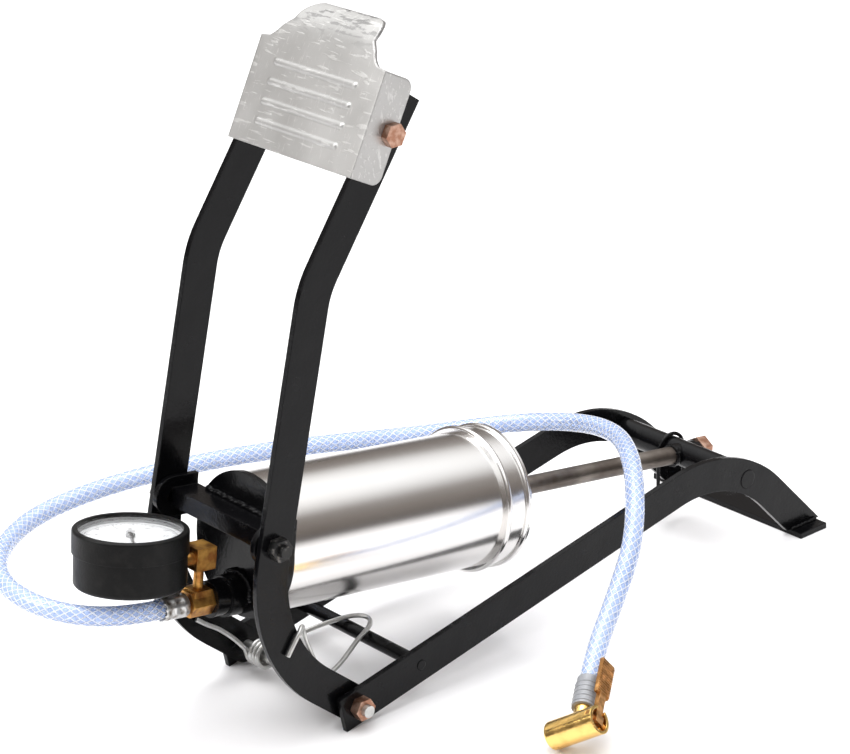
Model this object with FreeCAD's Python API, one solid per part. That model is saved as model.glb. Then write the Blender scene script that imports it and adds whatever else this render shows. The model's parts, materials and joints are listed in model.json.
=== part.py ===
import FreeCAD, Part
import math
import os

# Foot-operated air pump: a welded base, a return-sprung pedal lever, one barrel that the lever
# drives along a piston rod, a pressure gauge and an air hose with a valve chuck.
# Millimetres. X runs from the pivot end to the foot plate, Z is up, and the floor is Z = 0.
# The origin is the middle of the foot plate's underside.

os.makedirs("parts", exist_ok=True)
V = FreeCAD.Vector
Y_AXIS = V(0, 1, 0)

# ---- driving dimensions ------------------------------------------------------------------
base_length = 317.0          # front foot corner to the middle of the foot plate
base_half_width = 47.25      # centre plane to the outer face of a base bar
bar_depth = 18.0             # flat bar, on edge
bar_thick = 3.0
base_rise = 11.0             # slope of the base bars, degrees
base_fall = 46.4             # slope of their rear legs, degrees
hump_from_front = 262.7      # where the two slopes would meet
hump_radius = 75.0
foot_plate_depth = 20.0
foot_plate_thick = 3.0
foot_plate_overhang = 8.0
tie_from_front = 47.0
tie_radius = 3.5
tenon_radius = 2.5
pivot_from_front = 8.0
spindle_radius = 3.0
spacer_radius = 7.0
fit_clearance = 0.05         # radial, on every turning or sliding fit
side_gap = 0.3               # between flat faces that pass each other

arm_half_width = 42.5        # centre plane to the outer face of an arm
arm_bend_low = (-44.4, 56.3)     # corners of the arm's centre line, from the front foot corner
arm_bend_high = (-2.3, 221.7)
arm_low_radius = 72.0
arm_high_radius = 45.0
pedal_bolt_at = (42.6, 284.4)
arm_past_bolt = 20.0
lever_bolt_height = 105.5    # height of the barrel's pivot, on the arm's centre line
m6_radius = 3.0
m6_nut_across = 10.0
m6_nut_height = 5.0
thread_past_nut = 2.5

pedal_tilt = 27.2            # lean of the pedal plate, degrees from upright
pedal_thick = 1.5
pedal_height = 49.7          # flat part, bottom edge to the shoulder
pedal_flange = 18.0
pedal_stop_gap = 0.8         # plate to the arms' front edges
lip_radius = 30.0
lip_length = 25.0
lip_half_width = 28.0
lip_corner = 11.0
rib_half_length = 28.0
rib_radius = 1.8
rib_first = 11.3
rib_pitch = 9.4
rib_count = 4

tube_pivot = (273.5, 43.3)   # cross tube axis, from the front foot corner
cross_tube_radius = 7.0
journal_radius = 5.0
rod_radius = 4.8
rod_thread_radius = 4.0
rod_nut_across = 13.0
rod_nut_height = 6.5
barrel_tilt = 8.8            # degrees, falling towards the foot plate
barrel_near = 144.8          # rod pivot to the barrel's rod end, along the rod
barrel_length = 152.5
barrel_radius = 34.0
barrel_wall = 1.2
ring_radius = 37.0
ring_length = 16.0
cap_thick = 2.0
head_radius = 35.0
head_thick = 3.0
gasket_thick = 1.5
piston_gap = 5.5             # end cap to the piston, with the lever up
piston_thick = 6.0
cup_thick = 5.0
cup_clearance = 0.06
piston_clearance = 0.5
bush_radius = 8.0
bush_length = 5.0
vent_radius = 2.0
vent_circle = 22.0

bracket_bar_depth = 15.0
bracket_bar_height = 9.0
ear_height = 20.0
ear_thick = 3.0
ear_reach = 24.0
ear_side_gap = 0.6
outlet_drop = 24.0           # outlet below the barrel's axis
boss_radius = 10.0
boss_step_radius = 8.8
boss_length = 10.0
boss_step_length = 8.0
bore_radius = 3.2
tee_block = 12.0
tee_length = 12.5
stem_radius = 2.4
elbow_block = 11.0
elbow_rise = 22.7            # tee centre to elbow centre
gauge_radius = 26.2
gauge_height = 27.0
gauge_port_up = 0.62         # port below the rim, as a share of the height
gauge_wall = 2.0
bezel_radius = 27.0
bezel_height = 11.0
gauge_side = 9.5             # gauge centre, sideways from the elbow
gauge_lean = 4.4             # degrees, screwed home a little off square
gauge_gap = 2.6              # elbow block to the case
dial_depth = 4.5             # dial below the bezel's rim
dial_thick = 1.0
glass_thick = 1.5

hose_radius = 4.75
ferrule_wall = 0.9
ferrule_length = 14.0
barb_length = 8.5
chuck_radius = 7.0
chuck_length = 28.0
chuck_mouth = (59.0, -125.0)     # from the front foot corner; sideways
chuck_axis = V(0.34, -0.79, 0.50)    # mouth to cam, propped up by the hose
chuck_hose_way = V(0.75, 0.55, 0.36)
chuck_inlet_at = 16.5        # along the body from its mouth
chuck_inlet_radius = 4.2
chuck_inlet_reach = 10.5     # body axis to the hose's sleeve
chuck_sleeve = 17.0
chuck_plug = 11.5
chuck_bore_radius = 4.1
chuck_bore_depth = 6.0
chuck_seal_radius = 3.5        # its recess, behind the bore
chuck_seal_thick = 2.6
chuck_seal_depth = 9.2
chuck_cavity_radius = 5.4
chuck_cavity_depth = 6.8
chuck_pin_radius = 1.2
chuck_pin_back = 2.0         # pin behind the open end
chuck_cam = 4.6              # square cam block
chuck_neck = 4.2
chuck_plate_from = 15.0
chuck_plate_width = 8.6
chuck_lever_length = 35.0
chuck_rib_pitch = 1.4

coil_radius = 7.0
wire_radius = 1.25
coil_turns = 5
coil_from_centre = 27.0
spring_rest_gap = 0.3        # spring to the bars it presses on
link_wire_radius = 1.0
link_height = 46.0
link_width = 19.0

# ---- places worked out from them ---------------------------------------------------------
front = -(base_length)
slope = math.radians(base_rise)
fall = math.radians(base_fall)
along = V(math.cos(slope), 0, math.sin(slope))
across = V(-math.sin(slope), 0, math.cos(slope))
bar_start = V(front, 0, 0) + across * (bar_depth / 2)


def on_bar(distance):
    """Point on the straight part of a base bar's centre line, by its distance from the front."""
    return bar_start + along * (distance / math.cos(slope))


pivot = on_bar(pivot_from_front + math.sin(slope) * bar_depth / 2)
tie_at = on_bar(tie_from_front + math.sin(slope) * bar_depth / 2)
tube_at = V(front + tube_pivot[0], 0, tube_pivot[1])
base_inner = base_half_width - bar_thick
arm_inner = arm_half_width - bar_thick
low_corner = V(front + arm_bend_low[0], 0, arm_bend_low[1])
high_corner = V(front + arm_bend_high[0], 0, arm_bend_high[1])
pedal_bolt = V(front + pedal_bolt_at[0], 0, pedal_bolt_at[1])
arm_line = high_corner - low_corner
lever_bolt = low_corner + arm_line * ((lever_bolt_height - low_corner.z) / arm_line.z)

barrel_frame = FreeCAD.Placement(tube_at, FreeCAD.Rotation(Y_AXIS, barrel_tilt))
head_x = -(barrel_near + barrel_length)
bolt_in_barrel = barrel_frame.inverse().multVec(lever_bolt)
bracket_z = bolt_in_barrel.z
boss_x = head_x - boss_length - boss_step_length
tee_x = boss_x - tee_length / 2
elbow_z = elbow_rise - outlet_drop
gauge_back = tee_x - elbow_block / 2 - gauge_gap
gauge_x = gauge_back - math.sqrt(gauge_radius ** 2 - gauge_side ** 2)
gauge_top = elbow_z + gauge_height * gauge_port_up
tee_front = boss_x - tee_length
hose_exit_x = tee_front - barb_length


# ---- shared shapes -----------------------------------------------------------------------
def cylinder(radius, start, end):
    axis = end - start
    return Part.makeCylinder(radius, axis.Length, start, axis)


def pipe(outer, inner, start, end):
    return cylinder(outer, start, end).cut(cylinder(inner, start, end))


def box(low, high):
    return Part.makeBox(high.x - low.x, high.y - low.y, high.z - low.z, low)


def at_side(point, y):
    return V(point.x, y, point.z)


def bends(points, radii):
    """Tangent points and arc middles of a path whose corners are rounded."""
    result = []
    for before, corner, after, radius in zip(points, points[1:], points[2:], radii):
        back = (before - corner).normalize()
        ahead = (after - corner).normalize()
        half = math.acos(max(-1.0, min(1.0, back.dot(ahead)))) / 2
        reach = radius / math.tan(half)
        bisector = (back + ahead).normalize()
        centre = corner + bisector * (radius / math.sin(half))
        result.append((corner + back * reach, centre - bisector * radius, corner + ahead * reach))
    return result


def path_wire(points, radii):
    edges = []
    at = points[0]
    for start, middle, end in bends(points, radii):
        if (start - at).Length > 0.001:
            edges.append(Part.LineSegment(at, start).toShape())
        edges.append(Part.Arc(start, middle, end).toShape())
        at = end
    edges.append(Part.LineSegment(at, points[-1]).toShape())
    return Part.Wire(edges)


def rod_along(points, radii, radius):
    """Round bar or tube of one thickness along straight runs and tangent arcs."""
    wire = path_wire(points, radii)
    start = Part.Wire(Part.Circle(points[0], points[1] - points[0], radius).toShape())
    solid = wire.makePipeShell([start], True, False)
    return solid


def strip(points, radii, depth, y, thick, round_start=False, round_end=False):
    """Flat bar on edge, bent in its own plane, from y to y + thick."""
    half = depth / 2
    corners = bends(points, radii)
    stations = [(points[0], points[1] - points[0])]
    for (start, middle, end), before, corner, after in zip(corners, points, points[1:], points[2:]):
        ahead_in = (corner - before).normalize()
        ahead_out = (after - corner).normalize()
        stations.append((start, ahead_in))
        stations.append((middle, ahead_in + ahead_out))
        stations.append((end, ahead_out))
    stations.append((points[-1], points[-1] - points[-2]))

    def edge_point(station, side):
        place, heading = station
        heading = V(heading).normalize()
        return place + V(-heading.z, 0, heading.x) * (half * side)

    def long_edge(side):
        line = [edge_point(station, side) for station in stations]
        parts = []
        at = line[0]
        for index in range(1, len(line) - 1, 3):
            parts.append(Part.LineSegment(at, line[index]).toShape())
            parts.append(Part.Arc(line[index], line[index + 1], line[index + 2]).toShape())
            at = line[index + 2]
        parts.append(Part.LineSegment(at, line[-1]).toShape())
        return parts, line[0], line[-1]

    def cap(station, a, b, outward, rounded):
        place, heading = station
        if rounded:
            tip = place + V(heading).normalize() * (half * outward)
            return Part.Arc(a, tip, b).toShape()
        return Part.LineSegment(a, b).toShape()

    left, left_start, left_end = long_edge(1)
    right, right_start, right_end = long_edge(-1)
    first = cap(stations[0], left_start, right_start, -1, round_start)
    last = cap(stations[-1], left_end, right_end, 1, round_end)
    outline = Part.Wire(Part.__sortEdges__(left + right + [first, last]))
    outline.translate(V(0, y, 0))
    return Part.Face(outline).extrude(V(0, thick, 0))


def hexagon(across_flats, start, end, turn=0.0):
    """Hexagonal bar from start to end."""
    axis = end - start
    radius = across_flats / math.sqrt(3)
    corners = []
    for k in range(7):
        angle = math.radians(60 * k + turn)
        corners.append(V(radius * math.cos(angle), radius * math.sin(angle), 0))
    face = Part.Face(Part.makePolygon(corners))
    solid = face.extrude(V(0, 0, axis.Length))
    solid.Placement = FreeCAD.Placement(start, FreeCAD.Rotation(V(0, 0, 1), axis))
    return solid


def nut(across_flats, hole, start, end):
    return hexagon(across_flats, start, end).cut(cylinder(hole, start, end))


def both_sides(make):
    """The near (-Y) and far (+Y) copies of one piece, as separate solids."""
    return Part.makeCompound([make(-1), make(1)])


# ---- base --------------------------------------------------------------------------------
def base_bar(side):
    corner = V(front + hump_from_front, 0, bar_start.z + (hump_from_front - bar_start.x + front)
               * math.tan(slope))
    rear = corner + V(math.cos(fall), 0, -math.sin(fall)) * (2 * corner.z)
    y = base_inner if side > 0 else -base_half_width
    bar = strip([bar_start, corner, rear], [hump_radius], bar_depth, y, bar_thick)
    floor = box(V(front, -base_half_width * 2, -base_length), V(base_length, base_half_width * 2,
                                                               foot_plate_thick))
    front_part = box(V(front * 2, -base_half_width * 2, -base_length),
                     V(front / 2, base_half_width * 2, base_length))
    bar = bar.cut(floor.cut(front_part))
    for place, radius in ((pivot, spindle_radius), (tie_at, tenon_radius),
                          (tube_at, journal_radius + fit_clearance)):
        bar = bar.cut(cylinder(radius, at_side(place, y - 1), at_side(place, y + bar_thick + 1)))
    return bar


def foot_plate():
    half = base_half_width + foot_plate_overhang
    return box(V(-foot_plate_depth / 2, -half, 0), V(foot_plate_depth / 2, half, foot_plate_thick))


def tie_bar():
    bar = cylinder(tie_radius, at_side(tie_at, -base_inner), at_side(tie_at, base_inner))
    return bar.fuse(cylinder(tenon_radius, at_side(tie_at, -base_half_width - side_gap),
                             at_side(tie_at, base_half_width + side_gap)))


def pivot_spindle():
    head = hexagon(m6_nut_across, at_side(pivot, base_half_width),
                   at_side(pivot, base_half_width + 4.0))
    end = -base_half_width - m6_nut_height - thread_past_nut
    return head.fuse(cylinder(spindle_radius, at_side(pivot, end), at_side(pivot, base_half_width)))


def pivot_nut():
    outer = -base_half_width - m6_nut_height
    return nut(m6_nut_across, spindle_radius, at_side(pivot, outer),
               at_side(pivot, -base_half_width))


def pivot_spacers():
    def washer(side):
        inner = arm_half_width + side_gap
        return pipe(spacer_radius, spindle_radius, at_side(pivot, side * inner),
                    at_side(pivot, side * base_inner))
    return both_sides(washer)


# ---- lever -------------------------------------------------------------------------------
def arm(side):
    heading = (pedal_bolt - high_corner).normalize()
    y = arm_inner if side > 0 else -arm_half_width
    piece = strip([pivot, low_corner, high_corner, pedal_bolt + heading * arm_past_bolt],
                  [arm_low_radius, arm_high_radius], bar_depth, y, bar_thick, True, False)
    holes = ((pivot, spindle_radius + fit_clearance), (lever_bolt, m6_radius),
             (pedal_bolt, m6_radius))
    for place, radius in holes:
        piece = piece.cut(cylinder(radius, at_side(place, y - 1), at_side(place, y + bar_thick + 1)))
    return piece


def bracket_outer():
    return arm_inner - ear_side_gap


def lever_bolts():
    def bolt(side):
        start = side * (arm_inner - ear_side_gap / 3)
        end = side * (arm_half_width + m6_nut_height + thread_past_nut)
        return cylinder(m6_radius, at_side(lever_bolt, start), at_side(lever_bolt, end))
    return both_sides(bolt)


def lever_nuts():
    def one(side):
        return nut(m6_nut_across, m6_radius, at_side(lever_bolt, side * arm_half_width),
                   at_side(lever_bolt, side * (arm_half_width + m6_nut_height)))
    return both_sides(one)


flange_inner = arm_half_width + side_gap
flange_outer = flange_inner + pedal_thick


def pedal_bolts():
    def bolt(side):
        under_head = side * (flange_outer + side_gap / 3)
        head = hexagon(m6_nut_across, at_side(pedal_bolt, under_head),
                       at_side(pedal_bolt, under_head + side * 4.0))
        end = side * (arm_inner - m6_nut_height - thread_past_nut)
        return head.fuse(cylinder(m6_radius, at_side(pedal_bolt, end),
                                  at_side(pedal_bolt, under_head)))
    return both_sides(bolt)


def pedal_nuts():
    def one(side):
        return nut(m6_nut_across, m6_radius,
                   at_side(pedal_bolt, side * (arm_inner - m6_nut_height)),
                   at_side(pedal_bolt, side * arm_inner))
    return both_sides(one)


# The pedal's own frame: Z up its plate, X square to the plate towards the arms.
pedal_turn = FreeCAD.Rotation(Y_AXIS, pedal_tilt)
pedal_foot = V(front + 19.2, 0, 269.2) + pedal_turn.multVec(V(-pedal_stop_gap, 0, 0))
pedal_frame = FreeCAD.Placement(pedal_foot, pedal_turn)


def pedal():
    half = flange_outer
    neck = lip_half_width
    rise = lip_length * 0.9
    outline = [V(0, -half, 0), V(0, half, 0), V(0, half, pedal_height)]
    shoulder = V(0, half - 6, pedal_height + 0.8)
    waist = V(0, neck + 4.5, pedal_height + 7)
    corner = V(0, neck, pedal_height + rise - lip_corner)
    top = V(0, neck - lip_corner, pedal_height + rise)
    right = [V(0, half, pedal_height), shoulder, waist, corner, top]
    left = [V(0, -point.y, point.z) for point in right]
    mid_right = V(0, neck + 7.5, pedal_height + 3)
    mid_left = V(0, -mid_right.y, mid_right.z)
    inset = lip_corner * (1 - math.sqrt(0.5))
    round_right = V(0, neck - inset, pedal_height + rise - inset)
    round_left = V(0, -round_right.y, round_right.z)
    edges = [Part.LineSegment(outline[1], right[0]).toShape(),
             Part.LineSegment(right[0], right[1]).toShape(),
             Part.Arc(right[1], mid_right, right[2]).toShape(),
             Part.LineSegment(right[2], right[3]).toShape(),
             Part.Arc(right[3], round_right, right[4]).toShape(),
             Part.LineSegment(right[4], left[4]).toShape(),
             Part.Arc(left[4], round_left, left[3]).toShape(),
             Part.LineSegment(left[3], left[2]).toShape(),
             Part.Arc(left[2], mid_left, left[1]).toShape(),
             Part.LineSegment(left[1], left[0]).toShape(),
             Part.LineSegment(left[0], outline[0]).toShape(),
             Part.LineSegment(outline[0], outline[1]).toShape()]
    silhouette = Part.Face(Part.Wire(edges))
    prism = silhouette.extrude(V(lip_radius, 0, 0))
    # side section of the sheet: straight, then rolled back at the top
    turn = lip_length / lip_radius
    centre = V(lip_radius, 0, pedal_height)

    def rolled(radius, angle):
        return centre + V(-radius * math.cos(angle), 0, radius * math.sin(angle))

    inner_radius = lip_radius - pedal_thick
    section = [Part.LineSegment(V(0, 0, 0), V(0, 0, pedal_height)).toShape(),
               Part.Arc(rolled(lip_radius, 0), rolled(lip_radius, turn / 2),
                        rolled(lip_radius, turn)).toShape(),
               Part.LineSegment(rolled(lip_radius, turn), rolled(inner_radius, turn)).toShape(),
               Part.Arc(rolled(inner_radius, turn), rolled(inner_radius, turn / 2),
                        rolled(inner_radius, 0)).toShape(),
               Part.LineSegment(V(pedal_thick, 0, pedal_height), V(pedal_thick, 0, 0)).toShape(),
               Part.LineSegment(V(pedal_thick, 0, 0), V(0, 0, 0)).toShape()]
    sheet = Part.Face(Part.Wire(section))
    sheet.translate(V(0, -half, 0))
    sheet = sheet.extrude(V(0, 2 * half, 0)).common(prism)
    piece = sheet
    for side in (-1, 1):
        low = min(side * flange_inner, side * flange_outer)
        flange = box(V(0, low, 0), V(pedal_flange, low + pedal_thick, pedal_height))
        rear = [edge for edge in flange.Edges
                if abs(edge.CenterOfMass.x - pedal_flange) < 0.01
                and abs(edge.Vertexes[0].Point.z - edge.Vertexes[1].Point.z) < 0.01]
        piece = piece.fuse(flange.makeFillet(5.0, rear))
    for k in range(rib_count):
        z = rib_first + k * rib_pitch
        rib = cylinder(rib_radius, V(rib_radius * 0.4, -rib_half_length, z),
                       V(rib_radius * 0.4, rib_half_length, z))
        for side in (-1, 1):
            rib = rib.fuse(Part.makeSphere(rib_radius, V(rib_radius * 0.4,
                                                        side * rib_half_length, z)))
        keep = box(V(-rib_radius, -half, z - rib_pitch / 2), V(pedal_thick / 2, half,
                                                              z + rib_pitch / 2))
        piece = piece.fuse(rib.common(keep))
    piece = piece.removeSplitter()
    piece.Placement = pedal_frame
    hole = cylinder(m6_radius + fit_clearance, at_side(pedal_bolt, -base_half_width),
                    at_side(pedal_bolt, base_half_width))
    return piece.cut(hole)


def return_spring():
    """Double torsion spring: a coil beside each arm, a loop over the tie bar, two outer legs."""
    coil_half = coil_turns * wire_radius
    wire = None
    middle = coil_radius - wire_radius
    for side in (-1, 1):
        low = side * coil_from_centre - coil_half
        coil = None
        for k in range(coil_turns):
            y = low + wire_radius * (2 * k + 1)
            ring = Part.makeTorus(middle, wire_radius * 1.04, at_side(pivot, y), Y_AXIS)
            coil = ring if coil is None else coil.fuse(ring)
        wire = coil if wire is None else wire.fuse(coil)
    inner = coil_from_centre - coil_half + wire_radius
    outer = coil_from_centre + coil_half - wire_radius
    loop_top = tie_at + V(2.0, 0, tie_radius + wire_radius - spring_rest_gap)
    start = pivot + V(0, 0, middle)
    loop = [at_side(start, -inner), at_side(loop_top + V(2, 0, 1.5), -5.0),
            at_side(loop_top + V(2, 0, 1.5), 5.0), at_side(start, inner)]
    wire = wire.fuse(rod_along(loop, [4.0, 4.0], wire_radius))
    leg_foot = pivot + V(-middle, 0, 0)
    rear_edge = low_corner + V(26.0, 0, 2.0)
    beside_arm = arm_inner - wire_radius - spring_rest_gap
    for side in (-1, 1):
        points = [at_side(leg_foot, side * outer),
                  at_side(leg_foot + V(-8.0, 0, 14.0), side * beside_arm),
                  at_side(rear_edge + V(-12.0, 0, -8.0), side * beside_arm)]
        wire = wire.fuse(rod_along(points, [9.0], wire_radius))
    return wire


# ---- rod ---------------------------------------------------------------------------------
def cross_tube():
    half = base_inner - side_gap
    tube = cylinder(cross_tube_radius, at_side(tube_at, -half), at_side(tube_at, half))
    tube = tube.fuse(cylinder(journal_radius, at_side(tube_at, -base_half_width - side_gap),
                              at_side(tube_at, base_half_width + side_gap)))
    hole = cylinder(rod_thread_radius, V(-cross_tube_radius * 2, 0, 0),
                    V(cross_tube_radius * 2, 0, 0))
    hole.Placement = barrel_frame
    return tube.cut(hole)


def flat_behind_tube():
    return cross_tube_radius + 0.6


piston_x = -(barrel_near + cap_thick + piston_gap)
cup_x = piston_x - piston_thick
nut_x = cup_x - cup_thick
rod_end = nut_x - rod_nut_height + 0.8


def in_barrel(make):
    shape = make()
    shape.Placement = barrel_frame.multiply(shape.Placement)
    return shape


def saddle(x_start, x_end, radius, hole):
    """Washer whose one face is hollowed to sit on the cross tube."""
    ring = pipe(radius, hole, V(x_start, 0, 0), V(x_end, 0, 0))
    return ring.cut(cylinder(cross_tube_radius, V(0, -base_half_width, 0),
                             V(0, base_half_width, 0)))


def piston_rod():
    shoulder = -flat_behind_tube() - 2.0
    rod = cylinder(rod_radius, V(piston_x, 0, 0), V(shoulder, 0, 0))
    end = flat_behind_tube() + 2.0 + rod_nut_height + 1.5
    thread = cylinder(rod_thread_radius, V(rod_end, 0, 0), V(end, 0, 0))
    return rod.fuse(thread)


def rod_collar():
    return saddle(-flat_behind_tube() - 2.0, -cross_tube_radius * 0.5, rod_radius + 1.2,
                  rod_thread_radius)


def rod_washer():
    return saddle(cross_tube_radius * 0.5, flat_behind_tube() + 2.0, rod_radius + 1.2,
                  rod_thread_radius)


def rod_nut():
    start = flat_behind_tube() + 2.0
    return nut(rod_nut_across, rod_thread_radius, V(start, 0, 0), V(start + rod_nut_height, 0, 0))


def piston():
    return pipe(barrel_radius - barrel_wall - piston_clearance, rod_thread_radius,
                V(cup_x, 0, 0), V(piston_x, 0, 0))


def piston_cup():
    outer = barrel_radius - barrel_wall - cup_clearance
    cup = pipe(outer, rod_thread_radius, V(nut_x, 0, 0), V(cup_x, 0, 0))
    hollow = pipe(outer - 2.5, rod_nut_across, V(nut_x, 0, 0), V(nut_x + cup_thick / 2, 0, 0))
    return cup.cut(hollow)


def piston_nut():
    return nut(rod_nut_across, rod_thread_radius, V(nut_x - rod_nut_height + 1.5, 0, 0),
               V(nut_x, 0, 0))


# ---- barrel ------------------------------------------------------------------------------
def barrel_tube():
    return pipe(barrel_radius, barrel_radius - barrel_wall,
                V(head_x + head_thick + gasket_thick, 0, 0), V(-barrel_near - cap_thick, 0, 0))


def end_ring():
    """Pressed end cap: a skirt over the tube with a rolled bead at its open edge."""
    near = -barrel_near
    far = near - ring_length
    skirt = barrel_radius + 1.2
    bead = (ring_radius - barrel_radius) / 2
    cap = cylinder(ring_radius - 0.6, V(near - cap_thick, 0, 0), V(near, 0, 0))
    cap = cap.fuse(cylinder(skirt, V(far, 0, 0), V(near, 0, 0)))
    bead_ring = Part.makeTorus(barrel_radius + bead, bead, V(far + bead, 0, 0), V(1, 0, 0))
    cap = cap.fuse(bead_ring)
    rim = Part.makeTorus(skirt, ring_radius - 0.4 - skirt, V(near - 2.0, 0, 0), V(1, 0, 0))
    cap = cap.fuse(rim)
    cap = cap.cut(cylinder(barrel_radius, V(far - 1, 0, 0), V(near - cap_thick, 0, 0)))
    cap = cap.cut(cylinder(bush_radius, V(near - cap_thick, 0, 0), V(near + 5, 0, 0)))
    for k in range(6):
        angle = math.radians(60 * k + 30)
        y = vent_circle * math.cos(angle)
        z = vent_circle * math.sin(angle)
        cap = cap.cut(cylinder(vent_radius, V(near - cap_thick - 1, y, z), V(near + 5, y, z)))
    return cap


def rod_bush():
    start = -barrel_near - cap_thick
    return pipe(bush_radius, rod_radius + fit_clearance, V(start, 0, 0),
                V(start + bush_length, 0, 0))


def outlet_hole(x_start, x_end, radius=None):
    radius = radius or bore_radius
    return cylinder(radius, V(x_start, 0, -outlet_drop), V(x_end, 0, -outlet_drop))


def head_plate():
    disc = cylinder(head_radius, V(head_x, 0, 0), V(head_x + head_thick, 0, 0))
    return disc.cut(outlet_hole(head_x - 1, head_x + head_thick + 1))


def head_gasket():
    disc = cylinder(barrel_radius, V(head_x + head_thick, 0, 0),
                    V(head_x + head_thick + gasket_thick, 0, 0))
    return disc.cut(outlet_hole(head_x, head_x + head_thick + gasket_thick + 1))


def pivot_bracket():
    outer = bracket_outer()
    low = bracket_z - bracket_bar_height / 2
    bar = box(V(head_x - bracket_bar_depth, -outer + ear_thick, low),
              V(head_x, outer - ear_thick, low + bracket_bar_height))
    for side in (-1, 1):
        y = min(side * outer, side * (outer - ear_thick))
        centre = V(bolt_in_barrel.x, y, bracket_z)
        ear = box(V(centre.x, y, bracket_z - ear_height / 2),
                  V(head_x, y + ear_thick, bracket_z + ear_height / 2))
        ear = ear.fuse(cylinder(ear_height / 2, centre, centre + Y_AXIS * ear_thick))
        ear = ear.cut(cylinder(m6_radius + fit_clearance, centre - Y_AXIS,
                               centre + Y_AXIS * (ear_thick + 1)))
        bar = bar.fuse(ear)
    return bar.removeSplitter()


def outlet_boss():
    step = head_x - boss_length
    boss = cylinder(boss_radius, V(step, 0, -outlet_drop), V(head_x, 0, -outlet_drop))
    boss = boss.fuse(cylinder(boss_step_radius, V(boss_x, 0, -outlet_drop),
                              V(step, 0, -outlet_drop)))
    return boss.cut(outlet_hole(boss_x - 1, head_x + 1))


ball_radius = 2.8


def check_ball():
    return Part.makeSphere(ball_radius, V(head_x - boss_length + ball_radius, 0, -outlet_drop))


def check_spring():
    """Light coil behind the ball, as its outer sleeve."""
    return pipe(bore_radius - 0.4, bore_radius - 1.2, V(boss_x, 0, -outlet_drop),
                V(head_x - boss_length - 0.6, 0, -outlet_drop))


def outlet_tee():
    half = tee_block / 2
    block = hexagon(tee_block, V(tee_front, 0, -outlet_drop), V(boss_x, 0, -outlet_drop), 30)
    top = box(V(tee_x - half * 0.8, -half * 0.8, -outlet_drop),
              V(tee_x + half * 0.8, half * 0.8, -outlet_drop + half + 1.0))
    block = block.fuse(top)
    block = block.cut(outlet_hole(tee_front - 1, boss_x + 1, bore_radius - 1))
    return block.cut(cylinder(1.2, V(tee_x, 0, -outlet_drop), V(tee_x, 0, 0)))


def gauge_stem():
    low = -outlet_drop + tee_block / 2 + 1.0
    return pipe(stem_radius, 1.2, V(tee_x, 0, low), V(tee_x, 0, elbow_z - elbow_block / 2))


def gauge_elbow():
    half = elbow_block / 2
    block = box(V(tee_x - half, -half, elbow_z - half), V(tee_x + half, half, elbow_z + half))
    nipple = cylinder(3.0, V(tee_x - half, -half * 0.2, elbow_z),
                      V(gauge_back - 3.0, -half * 0.2, elbow_z))
    block = block.fuse(nipple)
    bore = cylinder(1.2, V(tee_x, 0, elbow_z - half - 1), V(tee_x, 0, elbow_z))
    return block.cut(bore)


def gauge_centre(z):
    return V(gauge_x, gauge_side, z)


rim_top = gauge_top
rim_low = rim_top - bezel_height
case_low = rim_top - gauge_height


def leaned(piece):
    """Turned about the elbow's nipple, as screwed home."""
    piece.rotate(V(0, -elbow_block * 0.1, elbow_z), V(1, 0, 0), -gauge_lean)
    return piece


def gauge_case():
    case = cylinder(gauge_radius, gauge_centre(case_low), gauge_centre(rim_low))
    foot = [edge for edge in case.Edges if edge.BoundBox.ZMax < case_low + 0.01]
    case = case.makeFillet(2.0, foot)
    hollow = cylinder(gauge_radius - gauge_wall, gauge_centre(case_low + gauge_wall),
                      gauge_centre(rim_low + 1))
    half = elbow_block / 2
    hole = cylinder(3.0, V(tee_x - half, -half * 0.2, elbow_z),
                    V(gauge_back - 3.0, -half * 0.2, elbow_z))
    return leaned(case.cut(hollow).cut(hole))


def gauge_bezel():
    ring = pipe(bezel_radius, gauge_radius - gauge_wall, gauge_centre(rim_low),
                gauge_centre(rim_top))
    edge = [e for e in ring.Edges if abs(e.BoundBox.ZMin - rim_top) < 0.01
            and e.BoundBox.XLength > 2 * bezel_radius - 0.1]
    return leaned(ring.makeFillet(1.2, edge))


def gauge_dial():
    top = rim_top - dial_depth
    return leaned(cylinder(gauge_radius - gauge_wall, gauge_centre(top - dial_thick),
                           gauge_centre(top)))


def gauge_glass():
    top = rim_top - 1.0
    return leaned(cylinder(gauge_radius - gauge_wall, gauge_centre(top - glass_thick),
                           gauge_centre(top)))


def gauge_pointer():
    low = rim_top - dial_depth + 0.3
    hub = cylinder(2.2, gauge_centre(low), gauge_centre(low + 1.2))
    tip = gauge_radius - gauge_wall - 5
    needle = [gauge_centre(low + 0.3) + V(-0.9, -5, 0), gauge_centre(low + 0.3) + V(0.9, -5, 0),
              gauge_centre(low + 0.3) + V(0.25, tip, 0), gauge_centre(low + 0.3) + V(-0.25, tip, 0)]
    blade = Part.Face(Part.makePolygon(needle + needle[:1])).extrude(V(0, 0, 0.5))
    piece = hub.fuse(blade)
    piece.rotate(gauge_centre(low), V(0, 0, 1), 150)
    return leaned(piece)


def hose_barb():
    return cylinder(3.0, V(hose_exit_x, 0, -outlet_drop), V(tee_front, 0, -outlet_drop))


def hose_ferrule():
    end = tee_front - 1.5
    sleeve = pipe(hose_radius + ferrule_wall, hose_radius, V(end - ferrule_length, 0,
                                                             -outlet_drop),
                  V(end, 0, -outlet_drop))
    collar = pipe(hose_radius, 3.0, V(hose_exit_x, 0, -outlet_drop), V(end, 0, -outlet_drop))
    return sleeve.fuse(collar)


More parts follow.
